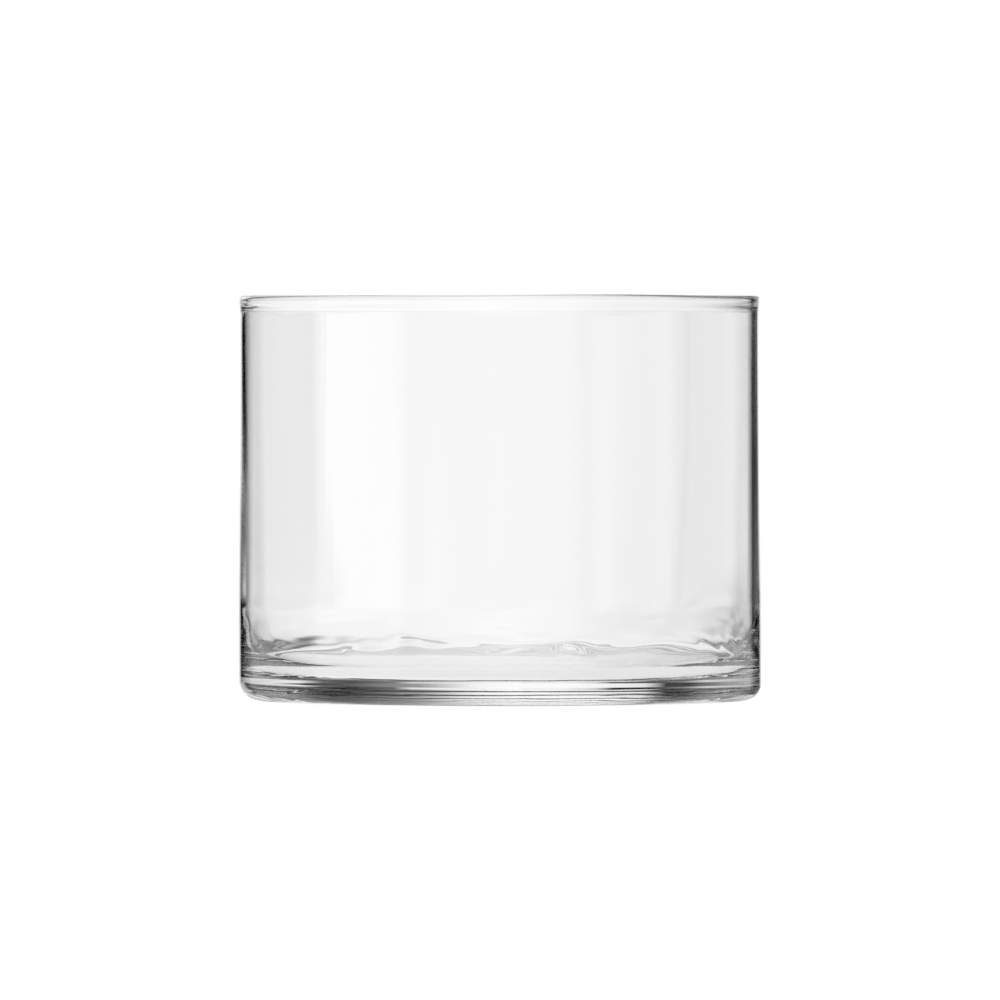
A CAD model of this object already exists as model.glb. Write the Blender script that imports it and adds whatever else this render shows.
"""Glass cylinder vase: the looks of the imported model.

The vase is one piece of clear soda-lime glass, so one closed mesh stands for its four modelled zones. The
mesh follows the same outline, and adds what hand-finished glass has: waves left in the floor and the inside
corner where the hot glass sagged, a rim that isn't quite level, and faint draw lines up the wall.

Everything is in metres. A size that a maker would state is written in millimetres, times MM.
"""

import logging
import math
from dataclasses import dataclass, field
from enum import Enum

import bpy
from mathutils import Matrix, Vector, noise


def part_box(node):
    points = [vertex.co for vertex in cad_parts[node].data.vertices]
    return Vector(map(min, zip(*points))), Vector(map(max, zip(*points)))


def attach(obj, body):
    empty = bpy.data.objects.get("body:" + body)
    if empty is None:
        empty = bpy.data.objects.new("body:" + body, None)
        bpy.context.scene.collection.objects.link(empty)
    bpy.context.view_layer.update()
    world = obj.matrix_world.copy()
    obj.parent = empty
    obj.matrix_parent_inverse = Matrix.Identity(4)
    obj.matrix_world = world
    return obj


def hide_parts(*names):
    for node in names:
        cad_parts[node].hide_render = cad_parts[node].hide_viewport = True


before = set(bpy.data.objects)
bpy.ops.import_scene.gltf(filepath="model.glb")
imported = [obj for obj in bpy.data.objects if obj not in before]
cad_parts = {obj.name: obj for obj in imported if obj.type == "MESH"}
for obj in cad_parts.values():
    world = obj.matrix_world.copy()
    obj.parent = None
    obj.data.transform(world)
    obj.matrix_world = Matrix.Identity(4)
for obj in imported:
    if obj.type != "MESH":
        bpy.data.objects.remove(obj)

MM = 0.001
# Pairs of an angle in degrees and the brightness there, in order.
Stations = tuple[tuple[float, float], ...]
log = logging.getLogger("cylinder_vase")


def linear(hex_colour: str) -> tuple[float, float, float, float]:
    """Turns an sRGB hex colour into the linear colour that shaders take.

    Args:
        hex_colour: six hex digits, such as "f2f4f3".

    Returns:
        Red, green, blue and an alpha of 1.
    """
    parts = [int(hex_colour[i : i + 2], 16) / 255 for i in (0, 2, 4)]
    red, green, blue = (p / 12.92 if p <= 0.04045 else ((p + 0.055) / 1.055) ** 2.4 for p in parts)
    return red, green, blue, 1.0


def add_node(
    tree: bpy.types.NodeTree,
    kind: str,
    settings: dict[str, object] | None = None,
    inputs: dict[str, object] | None = None,
) -> bpy.types.Node:
    """Adds one node with its settings, and sets or links its inputs.

    Args:
        tree: the node tree that gets the node.
        kind: the node's type, such as "ShaderNodeTexNoise".
        settings: attributes of the node and their values.
        inputs: input sockets by name, each with a value or with the output socket that feeds it.

    Returns:
        The new node.
    """
    node = tree.nodes.new(kind)
    for name, value in (settings or {}).items():
        setattr(node, name, value)
    for name, value in (inputs or {}).items():
        if isinstance(value, bpy.types.NodeSocket):
            tree.links.new(value, node.inputs[name])
        else:
            node.inputs[name].default_value = value
    return node


def blank_material(name: str) -> bpy.types.Material:
    """A new material with an empty node tree.

    Args:
        name: the material's name.

    Returns:
        The material.
    """
    material = bpy.data.materials.new(name)
    material.use_nodes = True
    material.node_tree.nodes.clear()
    return material


def clamped(share: float) -> float:
    """Keeps a share between 0 and 1."""
    return min(1.0, max(0.0, share))


class Zone(Enum):
    """The stretches of the outline that a glassmaker tells apart."""

    UNDERSIDE = "underside"
    HEEL = "heel"
    OUTER_WALL = "outer wall"
    BEAD = "bead"
    INNER_WALL = "inner wall"
    CORNER = "inside corner"
    FLOOR = "floor"


@dataclass(frozen=True)
class Point:
    """One point of the outline: its radius from the axis, its height and the zone that it belongs to."""

    radius: float
    height: float
    zone: Zone


@dataclass
class VesselOutline:
    """The closed outline of the glass, from the middle of the underside to the middle of the floor.

    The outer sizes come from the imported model's own boxes. The thicknesses repeat its values, but for the
    bead's lip and neck and the outside corner, which are set by eye. Every run has a fixed count of points,
    so two outlines with different sizes can be blended point by point.
    """

    wall_at_rim: float = 2.0 * MM
    swell_outside: float = 0.6 * MM
    swell_inside: float = 0.45 * MM
    bead_proud: float = 0.3 * MM
    bead_lip: float = 0.42 * MM
    heel_radius: float = 6.5 * MM
    heel_sweep: float = 120.0 * MM
    corner_radius: float = 11.0 * MM
    standing_width: float = 4.0 * MM
    push_up: float = 1.2 * MM
    neck_length: float = 4.6 * MM
    dome_steps: int = 24
    ring_steps: int = 4
    heel_steps: int = 20
    low_wall_steps: int = 12
    wall_steps: int = 30
    neck_steps: int = 10
    crown_steps: int = 24
    inner_wall_steps: int = 34
    sweep_steps: int = 20
    corner_steps: int = 24
    floor_steps: int = 56
    top: float = field(init=False)
    bead_outer: float = field(init=False)
    heel_top: float = field(init=False)
    heel_outer: float = field(init=False)
    floor_height: float = field(init=False)
    disc_radius: float = field(init=False)
    crown_radius: float = field(init=False)

    def __post_init__(self) -> None:
        """Reads the heights and radii that the zones share from the frame."""
        bead, wall, disc = (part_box(node) for node in ("rim_bead", "side_wall", "base_disc"))
        self.top, self.bead_outer = bead[1].z, bead[1].x
        self.heel_top, self.heel_outer = wall[0].z, wall[1].x
        self.floor_height, self.disc_radius = disc[1].z, disc[1].x
        self.crown_radius = (self.wall_at_rim + self.bead_proud + self.bead_lip) / 2

    def line(
        self, start: tuple[float, float], end: tuple[float, float], count: int, zone: Zone
    ) -> list[Point]:
        """Points along a straight run, without its end.

        Args:
            start: where it starts, as radius from the axis and height.
            end: where it ends.
            count: the number of points.
            zone: the zone that they belong to.

        Returns:
            The points in order.
        """
        out, up = end[0] - start[0], end[1] - start[1]
        return [Point(start[0] + out * i / count, start[1] + up * i / count, zone) for i in range(count)]

    def arc(
        self, centre: tuple[float, float], radius: float, first: float, last: float, count: int, zone: Zone
    ) -> list[Point]:
        """Points along an arc, without its end.

        Args:
            centre: the arc's centre, as radius from the axis and height.
            radius: the arc's own radius.
            first: the angle of its start, in radians from outward, turning upward.
            last: the angle of its end.
            count: the number of points.
            zone: the zone that they belong to.

        Returns:
            The points in order.
        """
        points = []
        for i in range(count):
            angle = first + (last - first) * i / count
            out, up = radius * math.cos(angle), radius * math.sin(angle)
            points.append(Point(centre[0] + out, centre[1] + up, zone))
        return points

    def lean(self, sideways: float, radius: float, rising: bool, count: int, zone: Zone) -> list[Point]:
        """Points along a wall face that is upright at its top and has moved sideways at its foot.

        Args:
            sideways: how far the foot has moved outward.
            radius: the face's radius at its top.
            rising: whether the points run upward.
            count: the number of points.
            zone: the zone that they belong to.

        Returns:
            The points in order, without the last.
        """
        neck_foot = self.top - self.neck_length - self.crown_radius
        points = []
        for i in range(count):
            share = i / count if rising else 1 - i / count
            height = self.heel_top + (neck_foot - self.heel_top) * share
            points.append(Point(radius + sideways * (1 - share) ** 2, height, zone))
        return points

    def neck(self, wall: float, bead: float, high: float, rising: bool, count: int) -> list[Point]:
        """Points along the soft step between a wall face and the bead, with no kink at either end.

        Args:
            wall: the wall face's radius.
            bead: the bead's radius on the same side.
            high: the height where the bead takes over.
            rising: whether the points run upward.
            count: the number of points.

        Returns:
            The points in order, without the last.
        """
        points = []
        for i in range(count):
            share = i / count if rising else 1 - i / count
            blend = share**3 * (10 - 15 * share + 6 * share**2)
            height = high - self.neck_length * (1 - share)
            points.append(Point(wall + (bead - wall) * blend, height, Zone.BEAD))
        return points

    def points(self) -> list[Point]:
        """The whole outline in order.

        Returns:
            The points, from the axis under the vase to the axis on its floor.
        """
        wall_outer = self.bead_outer - self.bead_proud
        wall_inner = wall_outer - self.wall_at_rim
        heel_inner = wall_inner - self.swell_inside
        crown = self.crown_radius
        bead_inner = self.bead_outer - 2 * crown
        shoulder = self.top - crown
        standing_outer = self.heel_outer - self.heel_radius
        standing_inner = standing_outer - self.standing_width
        dome = (standing_inner**2 + self.push_up**2) / (2 * self.push_up)
        dome_edge = math.asin(standing_inner / dome)
        corner_centre = (self.disc_radius, self.floor_height + self.corner_radius)
        sweep_centre = (heel_inner - self.heel_sweep, self.heel_top)
        tangent = math.atan2(corner_centre[1] - sweep_centre[1], corner_centre[0] - sweep_centre[0])
        quarter = math.pi / 2
        heel_centre = (standing_outer, self.heel_radius)
        foot = (self.heel_outer, self.heel_radius)
        dome_centre = (0, self.push_up - dome)
        crown_centre = (self.bead_outer - crown, shoulder)
        floor_edge = (self.disc_radius, self.floor_height)
        return [
            *self.arc(dome_centre, dome, quarter, quarter - dome_edge, self.dome_steps, Zone.UNDERSIDE),
            *self.line((standing_inner, 0), (standing_outer, 0), self.ring_steps, Zone.UNDERSIDE),
            *self.arc(heel_centre, self.heel_radius, -quarter, 0, self.heel_steps, Zone.HEEL),
            *self.line(foot, (self.heel_outer, self.heel_top), self.low_wall_steps, Zone.OUTER_WALL),
            *self.lean(self.swell_outside, wall_outer, True, self.wall_steps, Zone.OUTER_WALL),
            *self.neck(wall_outer, self.bead_outer, shoulder, True, self.neck_steps),
            *self.arc(crown_centre, crown, 0, math.pi, self.crown_steps, Zone.BEAD),
            *self.neck(wall_inner, bead_inner, shoulder, False, self.neck_steps),
            *self.lean(-self.swell_inside, wall_inner, False, self.inner_wall_steps, Zone.INNER_WALL),
            *self.arc(sweep_centre, self.heel_sweep, 0, tangent, self.sweep_steps, Zone.CORNER),
            *self.arc(corner_centre, self.corner_radius, tangent, -quarter, self.corner_steps, Zone.CORNER),
            *self.line(floor_edge, (0, self.floor_height), self.floor_steps, Zone.FLOOR),
            Point(0, self.floor_height, Zone.FLOOR),
        ]


@dataclass(frozen=True)
class HotWorking:
    """What hot working leaves in the glass, as small moves of its surfaces.

    The floor and the inside corner were still soft when the mould opened, so they hold folds and waves. The
    walls carry faint upright draw waves, the mouth isn't quite level, and the vase leans a little.

    A depth or height is the most that a surface moves, and a pitch is the width of the pattern across.
    Turns are in radians round the axis.
    """

    seed: float = 11.0
    lean: float = 0.27 * MM
    lean_at_foot: float = 0.25
    lean_by_mouth: float = 1.2
    mouth_height: float = 140.0 * MM
    rim_rise: float = 0.5 * MM
    rise_turn: float = math.radians(67)
    rise_width: float = 0.42
    rim_triple: float = 0.08
    rim_tilt: float = 0.12
    heel_side: float = 0.54 * MM
    heel_twist: float = 0.18 * MM
    draw_wave: float = 0.03 * MM
    draw_pitch: float = 16.0 * MM
    draw_stretch: float = 8.0
    wall_radius: float = 90.0 * MM
    floor_wave: float = 0.10 * MM
    floor_pitch: float = 44.0 * MM
    floor_squash: float = 2.0
    fold: float = 0.26 * MM
    fold_pitch: float = 21.0 * MM
    fold_squash: float = 3.0
    fold_level: float = 0.35
    fold_bend: float = 0.9
    bend_pitch: float = 0.6
    drift_shifts: tuple[float, float, float] = (0.0, 19.3, 41.7)
    calm_middle: float = 0.08
    calm_radius: float = 55.0 * MM
    calm_fade: float = 25.0 * MM
    settled: float = 42.0 * MM
    soft: float = 16.0 * MM

    def heel_radius(self, radius: float, turn: float) -> float:
        """The outside corner's radius at one bearing: rounder on the side that left the mould last."""
        return radius - self.heel_side * math.cos(turn) - self.heel_twist * math.sin(2 * turn)

    def softness(self, height: float) -> float:
        """How far the inside was still soft at a height: 1 at the floor, fading to 0 up the wall."""
        share = clamped((self.settled - height) / (self.settled - self.soft))
        return share * share * (3 - 2 * share)

    def drift(self, place: Vector) -> Vector:
        """How far the folds are pulled out of line at a place."""
        return Vector([noise.noise(place + Vector((shift, 0.0, 0.0))) for shift in self.drift_shifts])

    def inside_move(self, place: Vector) -> float:
        """How far the inside surface moves along its normal.

        Args:
            place: a place on the floor, the inside corner or the inner wall.

        Returns:
            The move into the open inside, which is 0 above the height where the glass had settled.
        """
        soft = self.softness(place.z)
        if soft == 0.0:
            return 0.0
        wide = Vector((place.x, place.y, self.floor_squash * place.z)) / self.floor_pitch
        wave = noise.noise(wide + Vector((self.seed, 0, 0)))
        narrow = Vector((place.x, place.y, self.fold_squash * place.z)) / self.fold_pitch
        flow = narrow + Vector((0, self.seed, 0))
        bent = flow + self.fold_bend * self.drift(self.bend_pitch * flow)
        crease = self.fold_level - abs(noise.noise(bent))
        near_wall = clamped((math.hypot(place.x, place.y) - self.calm_radius) / self.calm_fade)
        share = self.calm_middle + (1 - self.calm_middle) * near_wall
        return soft * (self.floor_wave * wave + self.fold * crease * share)

    def wall_move(self, place: Vector, turn: float, face: float) -> float:
        """How far a wall face moves along its normal, in long upright waves.

        Args:
            place: a place on the wall.
            turn: its bearing.
            face: a number for the face, so that the two faces of the wall get different waves.

        Returns:
            The move.
        """
        round_about = Vector((math.cos(turn), math.sin(turn), 0)) * (self.wall_radius / self.draw_pitch)
        upright = Vector((0, 0, place.z / (self.draw_stretch * self.draw_pitch) + face * self.seed))
        return self.draw_wave * noise.noise(round_about + upright)

    def settle(self, place: Vector) -> Vector:
        """Leans a place and lifts or drops it with the uneven mouth.

        Args:
            place: a place on the vase as it was moulded.

        Returns:
            Where it is once the vase has cooled.
        """
        rise = clamped(place.z / self.mouth_height)
        turn = math.atan2(place.y, place.x)
        bump = math.exp(-(((abs(turn) - self.rise_turn) / self.rise_width) ** 2))
        dip = self.rim_triple * math.cos(3 * turn) - self.rim_tilt * math.cos(turn)
        sideways = self.lean * (self.lean_at_foot - self.lean_by_mouth * rise)
        return Vector((place.x + sideways, place.y, place.z + self.rim_rise * rise**2 * (bump + dip)))


@dataclass(frozen=True)
class ClearGlass:
    """Clear soda-lime glass, blown in a turning mould and fire-polished.

    It is nearly colourless, and smooth enough that the eye finds it only by what its edges bend. Turning
    in the mould leaves faint upright draw lines, the melt leaves threads that are a little less clear,
    handling leaves a film that a cloth never quite takes off, and the underside is dulled where it stood.

    The threads are 26 mm wide and the cloth marks 34 mm. Real draw lines are a fraction of a millimetre
    apart, too fine to show at this distance, so they are drawn 2.6 mm apart.
    """

    name: str = "fire_polished_soda_lime_glass"
    clearest: str = "ffffff"
    cloudiest: str = "fcfcfc"
    depth_colour: str = "e4e5e4"
    depth_density: float = 0.9
    ior: float = 1.52
    melt_thread: float = 26.0 * MM
    melt_stretch: float = 5.0
    draw_line: float = 2.6 * MM
    draw_stretch: float = 24.0
    draw_depth: float = 0.003 * MM
    cloth_mark: float = 34.0 * MM
    cloth_stretch: float = 1.6
    handled_roughness: float = 0.008
    underside_roughness: float = 0.035

    def streaks(
        self, tree: bpy.types.NodeTree, pitch: float, stretch: float, detail: float
    ) -> bpy.types.NodeSocket:
        """Adds a noise pattern that is drawn out upright.

        Args:
            tree: the material's node tree.
            pitch: the real width of the pattern, in metres.
            stretch: how many times longer it is upright than across.
            detail: how many finer layers it has.

        Returns:
            The noise, from 0 to 1.
        """
        places = add_node(tree, "ShaderNodeTexCoord")
        scale = (1 / pitch, 1 / pitch, 1 / (pitch * stretch))
        drawn = add_node(
            tree, "ShaderNodeMapping", inputs={"Vector": places.outputs["Object"], "Scale": scale}
        )
        pattern = add_node(
            tree,
            "ShaderNodeTexNoise",
            inputs={"Vector": drawn.outputs["Vector"], "Scale": 1.0, "Detail": detail},
        )
        return pattern.outputs["Fac"]

    def material(self) -> bpy.types.Material:
        """Makes the material.

        Returns:
            The glass, with its threads, film, wear, draw lines and depth.
        """
        material = blank_material(self.name)
        tree = material.node_tree
        # Threads in the melt: a shade less clear than the glass round them, drawn out up the wall.
        melt = self.streaks(tree, self.melt_thread, self.melt_stretch, detail=1.0)
        threads = add_node(tree, "ShaderNodeValToRGB", inputs={"Fac": melt})
        threads.color_ramp.elements[0].color = linear(self.cloudiest)
        threads.color_ramp.elements[1].color = linear(self.clearest)
        # The cloth's film on the handled faces, and the worn underside, which softens what the foot shows.
        marks = self.streaks(tree, self.cloth_mark, self.cloth_stretch, detail=1.0)
        film = add_node(
            tree, "ShaderNodeMapRange", inputs={"Value": marks, "To Max": self.handled_roughness}
        )
        underside = add_node(tree, "ShaderNodeAttribute", {"attribute_name": "underside"})
        worn = add_node(
            tree,
            "ShaderNodeMapRange",
            inputs={"Value": underside.outputs["Fac"], "To Max": self.underside_roughness},
        )
        rough = add_node(tree, "ShaderNodeMath", {"operation": "ADD"})
        tree.links.new(film.outputs["Result"], rough.inputs[0])
        tree.links.new(worn.outputs["Result"], rough.inputs[1])
        # Draw lines from the turning mould: a few microns deep, so what is seen through them only shivers.
        drawn = self.streaks(tree, self.draw_line, self.draw_stretch, detail=0.0)
        lines = add_node(
            tree, "ShaderNodeBump", inputs={"Height": drawn, "Distance": self.draw_depth, "Strength": 1.0}
        )
        glass = add_node(
            tree,
            "ShaderNodeBsdfPrincipled",
            inputs={
                "Base Color": threads.outputs["Color"],
                "Roughness": rough.outputs["Value"],
                "IOR": self.ior,
                "Transmission Weight": 1.0,
                "Normal": lines.outputs["Normal"],
            },
        )
        # The melt's trace of iron: too faint to see in the wall, and a breath of grey through the foot.
        depth = add_node(
            tree,
            "ShaderNodeVolumeAbsorption",
            inputs={"Color": linear(self.depth_colour), "Density": self.depth_density},
        )
        add_node(
            tree,
            "ShaderNodeOutputMaterial",
            inputs={"Surface": glass.outputs["BSDF"], "Volume": depth.outputs["Volume"]},
        )
        return material


@dataclass
class GlassVessel:
    """The vase itself, as one closed mesh.

    Each ring is blended, bearing by bearing, between an outline with the sharpest outside corner and one
    with the roundest.
    """

    segments: int = 360
    heel_low: float = 5.0 * MM
    heel_high: float = 8.5 * MM
    inner_face: float = 1.0
    outer_face: float = 2.0

    def places(self) -> list[list[Vector]]:
        """The rings of the vase's surface, with everything that hot working did to them.

        Returns:
            The rings in the outline's order, without its two ends on the axis.
        """
        working = HotWorking()
        sharp = VesselOutline(heel_radius=self.heel_low).points()
        rounded = VesselOutline(heel_radius=self.heel_high).points()
        middle = VesselOutline().heel_radius
        rings = []
        for k in range(1, len(sharp) - 1):
            before, after = sharp[k - 1], sharp[k + 1]
            away = Vector((after.height - before.height, before.radius - after.radius)).normalized()
            zone = sharp[k].zone
            ring = []
            for i in range(self.segments):
                turn = 2 * math.pi * i / self.segments
                mix = (working.heel_radius(middle, turn) - self.heel_low) / (self.heel_high - self.heel_low)
                radius = sharp[k].radius + (rounded[k].radius - sharp[k].radius) * mix
                height = sharp[k].height + (rounded[k].height - sharp[k].height) * mix
                place = Vector((radius * math.cos(turn), radius * math.sin(turn), height))
                move = 0.0
                if zone in (Zone.INNER_WALL, Zone.CORNER, Zone.FLOOR):
                    move += working.inside_move(place)
                if zone in (Zone.INNER_WALL, Zone.CORNER):
                    move += working.wall_move(place, turn, self.inner_face)
                if zone == Zone.OUTER_WALL:
                    chilled = 1 - working.softness(place.z)
                    move += chilled * working.wall_move(place, turn, self.outer_face)
                place += Vector((away.x * math.cos(turn), away.x * math.sin(turn), away.y)) * move
                ring.append(working.settle(place))
            rings.append(ring)
        return rings

    def build(self) -> bpy.types.Object:
        """Turns the rings into the vase's mesh.

        Returns:
            The vase.
        """
        rings = self.places()
        ends = [sum(ring, Vector()) / len(ring) for ring in (rings[0], rings[-1])]
        vertices = [tuple(v) for v in ends] + [tuple(v) for ring in rings for v in ring]
        faces: list[tuple[int, ...]] = []
        count = self.segments
        last = 2 + (len(rings) - 1) * count
        for i in range(count):
            j = (i + 1) % count
            faces.append((0, 2 + j, 2 + i))
            faces.append((1, last + i, last + j))
            for r in range(len(rings) - 1):
                low, high = 2 + r * count, 2 + (r + 1) * count
                faces.append((low + i, low + j, high + j, high + i))
        mesh = bpy.data.meshes.new("glass_vessel")
        mesh.from_pydata(vertices, [], faces)
        zones = [point.zone for point in VesselOutline().points()]
        under = [1.0, 0.0] + [float(zone == Zone.UNDERSIDE) for zone in zones[1:-1] for _ in range(count)]
        mesh.attributes.new("underside", "FLOAT", "POINT").data.foreach_set("value", under)
        mesh.polygons.foreach_set("use_smooth", [True] * len(mesh.polygons))
        mesh.update()
        piece = bpy.data.objects.new("glass_vessel", mesh)
        bpy.context.collection.objects.link(piece)
        mesh.materials.append(ClearGlass().material())
        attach(piece, "root")
        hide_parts("rim_bead", "side_wall", "heel_ring", "base_disc")
        return piece


class Band(Enum):
    """The bands of the tent, each as bright at a bearing as its own row of stations says."""

    TABLE = "table"
    GRADED = "graded"
    BANKS = "banks"
    PANEL = "panel"
    CEILING = "ceiling"


@dataclass(frozen=True)
class LightTent:
    """The tent of light round the vase: the glass is never lit, and shows the tent, bent and mirrored.

    Brightness is given at stations round the compass, in degrees to the right of straight behind the vase,
    for bands at a few heights in degrees above level, and fades evenly between them. The white panel
    behind stands between dark flags, which draw the upright edges. Above and below it the light is graded
    from left to right, and the solid foot of the glass gathers that into its bands. The table and the
    ceiling are dark, and draw the line of the mouth. Just under the panel, its banks show at the sides.

    The tent stays square to the camera, as a set does when the vase is turned on a turntable.
    """

    radius: float = 3.0
    height: float = 70.0 * MM
    panel: Stations = (
        (-170, 0.75), (-139, 0.75), (-133, 1.15), (-94, 1.15), (-88, 0.45), (-60, 0.45), (-40, 0.7),
        (-32, 0.2), (-24, 0.0), (-17, 0.0), (-14, 0.7), (-9, 0.95), (-4.2, 0.95), (-3.5, 0.92),
        (-3.05, 0.955), (-2.8, 1.05), (-1.5, 1.045), (-1.1, 1.02), (-0.7, 0.99), (1.7, 0.98),
        (2.3, 0.93), (3.1, 0.93), (3.4, 0.87), (3.8, 0.92), (8, 0.9), (13, 0.8), (16, 0.1), (24, 0.0),
        (31, 0.1), (38, 0.9), (55, 0.8), (85, 0.5), (125, 0.3), (142, 0.3), (150, 0.75),
    )
    graded: Stations = (
        (-175, 0.9), (-120, 0.1), (-85, 0.05), (-65, 0.33), (-50, 0.3), (-40, 0.12), (-34, 0.0),
        (-28, 0.0), (-23, 0.85), (-15, 1.0), (-8, 1.03), (-3, 1.03), (1, 1.01), (4, 0.92), (8, 0.6),
        (12, 0.3), (16, 0.2), (22, 0.08), (27, 0.0), (36, 0.0), (44, 0.2), (60, 0.32), (80, 0.12),
        (120, 0.05), (170, 0.6),
    )
    table: float = 0.08
    ceiling: float = 0.05
    bands: tuple[tuple[float, Band], ...] = (
        (-90, Band.TABLE),
        (-52, Band.TABLE),
        (-40, Band.GRADED),
        (-10, Band.GRADED),
        (-8, Band.BANKS),
        (-3.4, Band.BANKS),
        (-2.3, Band.PANEL),
        (2.3, Band.PANEL),
        (3.4, Band.GRADED),
        (60, Band.GRADED),
        (72, Band.CEILING),
        (90, Band.CEILING),
    )
    banks_from: float = 29.0
    banks_fade: float = 6.0
    fine_half: int = 4
    fine_steps: int = 8
    rises: tuple[float, ...] = (
        -90, -75, -62, -56, -50, -45, -40, -35, -30, -25, -21, -18, -15, -12, -10, -8, -6, -4.5, -3.4,
        -3, -2.3, 0, 2.3, 3, 3.4, 4.5, 6, 8, 10, 12, 15, 18, 21, 25, 30, 34, 40, 45, 50, 60, 66, 72, 80,
        90,
    )

    def along(self, stations: Stations, degrees: float) -> float:
        """The brightness at one angle of a row of stations.

        Args:
            stations: the row, whose last station fades into its first.
            degrees: the angle.

        Returns:
            The brightness, evenly faded between the two nearest stations.
        """
        first, last = stations[0], stations[-1]
        ends = [(last[0] - 360, last[1]), *stations, (first[0] + 360, first[1])]
        for (left, before), (right, after) in zip(ends, ends[1:]):
            if left <= degrees <= right:
                return before + (after - before) * (degrees - left) / (right - left)
        raise ValueError(f"no station covers {degrees}")

    def banks(self, degrees: float) -> float:
        """The brightness just under the panel: the panel's banks at the sides, graded behind."""
        share = clamped((abs(degrees) - self.banks_from) / self.banks_fade)
        return self.along(self.graded, degrees) * (1 - share) + self.along(self.panel, degrees) * share

    def brightness(self, degrees: float, rise: float) -> float:
        """The brightness at one place of the tent.

        Args:
            degrees: its bearing.
            rise: its height above level, in degrees.

        Returns:
            The brightness, evenly faded between the bands of the tent.
        """
        levels = {
            Band.TABLE: self.table,
            Band.GRADED: self.along(self.graded, degrees),
            Band.BANKS: self.banks(degrees),
            Band.PANEL: self.along(self.panel, degrees),
            Band.CEILING: self.ceiling,
        }
        return self.along(tuple((edge, levels[band]) for edge, band in self.bands), rise)

    def bearings(self) -> list[float]:
        """The bearings of the tent's upright seams.

        Returns:
            The bearings in degrees, a degree apart, and closer together straight behind the vase.
        """
        half = self.fine_half
        coarse = range(180 - half)
        fine = [-half + i / self.fine_steps for i in range(2 * half * self.fine_steps)]
        return [i - 180.0 for i in coarse] + fine + [float(half + i) for i in coarse]

    def cloth(self) -> bpy.types.Mesh:
        """Makes the tent's mesh, with the brightness as a value at each point.

        Returns:
            The mesh, a closed ball of cloth round the vase.
        """
        bearings = self.bearings()
        around = len(bearings)
        vertices: list[tuple[float, float, float]] = []
        glow: list[float] = []
        for rise in self.rises:
            for degrees in bearings:
                turn, lift = math.radians(degrees), math.radians(rise)
                out, up = self.radius * math.cos(lift), self.radius * math.sin(lift)
                vertices.append((out * math.sin(turn), out * math.cos(turn), up))
                glow.append(self.brightness(degrees, rise))
        faces = []
        for j in range(len(self.rises) - 1):
            for i in range(around):
                low, high, right = j * around, (j + 1) * around, (i + 1) % around
                faces.append((low + i, low + right, high + right, high + i))
        mesh = bpy.data.meshes.new("light_tent")
        mesh.from_pydata(vertices, [], faces)
        mesh.attributes.new("glow", "FLOAT", "POINT").data.foreach_set("value", glow)
        return mesh

    def build(self, camera: bpy.types.Object) -> bpy.types.Object:
        """Makes the tent, square to the camera.

        Args:
            camera: the camera that the white panel stays opposite to, as on a turntable.

        Returns:
            The tent, which only bent and mirrored light meets.
        """
        mesh = self.cloth()
        mesh.materials.append(self.light())
        tent = bpy.data.objects.new("light_tent", mesh)
        bpy.context.collection.objects.link(tent)
        tent.location = (0.0, 0.0, self.height)
        track = tent.constraints.new("TRACK_TO")
        track.target = camera
        track.track_axis = "TRACK_NEGATIVE_Y"
        track.up_axis = "UP_Z"
        tent.visible_camera = False
        return tent

    def light(self) -> bpy.types.Material:
        """Makes the tent's glow.

        Returns:
            Sailcloth lit from outside: it glows with no folds or seams, as bright as each point's value.
        """
        material = blank_material("lit_tent_cloth")
        tree = material.node_tree
        glow = add_node(tree, "ShaderNodeAttribute", {"attribute_name": "glow"})
        light = add_node(tree, "ShaderNodeEmission", inputs={"Strength": glow.outputs["Fac"]})
        add_node(tree, "ShaderNodeOutputMaterial", inputs={"Surface": light.outputs["Emission"]})
        return material


@dataclass(frozen=True)
class LitSheet:
    """Opal acrylic lit from below: it glows so evenly that nothing on it casts a shadow."""

    name: str
    strength: float
    colour: str = "ffffff"

    def material(self) -> bpy.types.Material:
        """Makes the material.

        Returns:
            An even white glow.
        """
        material = blank_material(self.name)
        tree = material.node_tree
        # Diffused twice on its way up, so it has no grain or gloss of its own and reads as plain white.
        light = {"Color": linear(self.colour), "Strength": self.strength}
        glow = add_node(tree, "ShaderNodeEmission", inputs=light)
        add_node(tree, "ShaderNodeOutputMaterial", inputs={"Surface": glow.outputs["Emission"]})
        return material


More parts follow.
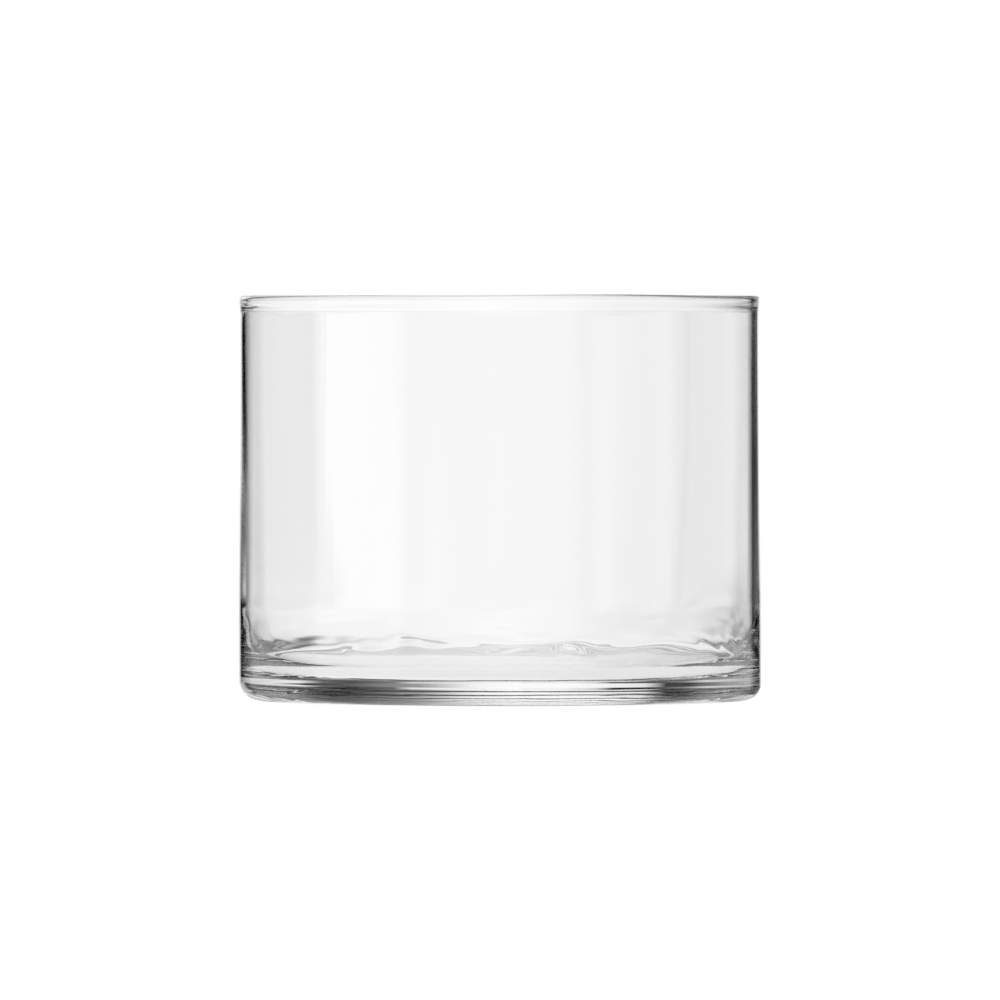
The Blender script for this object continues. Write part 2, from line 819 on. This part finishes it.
@dataclass
class Studio:
    """A bright-field set: the glass is seen against white, level with its mouth and from far away."""

    camera_distance: float = 5.6
    camera_above_rim: float = 1.0 * MM
    focal_length: float = 582.6
    aim_height: float = 69.25 * MM
    view_depth: float = 50.0
    wall_colour: str = "ffffff"
    floor_half: float = 3.0
    floor_drop: float = 0.3 * MM
    floor_glow: float = 1.0
    plate_radius: float = 92.0 * MM
    plate_drop: float = 2.0 * MM
    plate_glow: float = 0.85
    plate_corners: int = 64
    bounces: int = 32
    mirror_bounces: int = 16

    def camera(self) -> bpy.types.Object:
        """Makes the camera and makes it the scene's.

        Returns:
            The camera.
        """
        data = bpy.data.cameras.new("camera")
        data.lens = self.focal_length
        data.clip_end = self.view_depth
        camera = bpy.data.objects.new("camera", data)
        bpy.context.collection.objects.link(camera)
        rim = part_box("rim_bead")[1].z
        camera.location = (0.0, -self.camera_distance, rim + self.camera_above_rim)
        direction = Vector((0.0, 0.0, self.aim_height)) - camera.location
        camera.rotation_euler = direction.to_track_quat("-Z", "Y").to_euler()
        bpy.context.scene.camera = camera
        return camera

    def world(self) -> None:
        """Sets the world: a white wall where the camera sees it, and no light of its own on the glass."""
        world = bpy.data.worlds.new("studio")
        bpy.context.scene.world = world
        world.use_nodes = True
        tree = world.node_tree
        tree.nodes.clear()
        path = add_node(tree, "ShaderNodeLightPath")
        light = {"Color": linear(self.wall_colour), "Strength": path.outputs["Is Camera Ray"]}
        white = add_node(tree, "ShaderNodeBackground", inputs=light)
        add_node(tree, "ShaderNodeOutputWorld", inputs={"Surface": white.outputs["Background"]})

    def floor(self) -> bpy.types.Object:
        """Makes the pale floor, which only the camera sees.

        Returns:
            The floor.
        """
        half, low = self.floor_half, -self.floor_drop
        corners = [(-half, -half, low), (half, -half, low), (half, half, low), (-half, half, low)]
        mesh = bpy.data.meshes.new("floor")
        mesh.from_pydata(corners, [], [(0, 1, 2, 3)])
        mesh.materials.append(LitSheet("white_acrylic_table_lit_from_below", self.floor_glow).material())
        floor = bpy.data.objects.new("floor", mesh)
        bpy.context.collection.objects.link(floor)
        floor.visible_diffuse = False
        floor.visible_glossy = False
        floor.visible_transmission = False
        floor.visible_shadow = False
        return floor

    def plate(self) -> bpy.types.Object:
        """Makes the lit round plate under the vase, which the floor of the vase shows.

        Returns:
            The plate, which the camera doesn't see directly.
        """
        radius, low = self.plate_radius, -self.plate_drop
        turns = [2 * math.pi * i / self.plate_corners for i in range(self.plate_corners)]
        corners = [(radius * math.cos(turn), radius * math.sin(turn), low) for turn in turns]
        mesh = bpy.data.meshes.new("glow_plate")
        mesh.from_pydata(corners, [], [tuple(range(self.plate_corners))])
        mesh.materials.append(LitSheet("opal_plate_lit_from_below", self.plate_glow).material())
        plate = bpy.data.objects.new("glow_plate", mesh)
        bpy.context.collection.objects.link(plate)
        plate.visible_camera = False
        return plate

    def light_paths(self) -> None:
        """Has light followed through every mirroring inside the foot, and shown as bright as it is."""
        scene = bpy.context.scene
        scene.view_settings.view_transform = "Standard"
        scene.cycles.max_bounces = self.bounces
        scene.cycles.transmission_bounces = self.bounces
        scene.cycles.glossy_bounces = self.mirror_bounces


def main() -> None:
    """Builds the vase and the studio."""
    logging.basicConfig(level=logging.INFO)
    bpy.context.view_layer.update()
    vase = GlassVessel().build()
    log.info("%s: %d faces of clear glass", vase.name, len(vase.data.polygons))
    studio = Studio()
    camera = studio.camera()
    log.info("%s: level with the mouth, %.1f m away", camera.name, studio.camera_distance)
    studio.world()
    floor = studio.floor()
    plate = studio.plate()
    tent = LightTent().build(camera)
    for piece in (floor, plate, tent):
        log.info("%s: on the set, not part of the vase", piece.name)
    studio.light_paths()


if __name__ == "__main__":
    main()
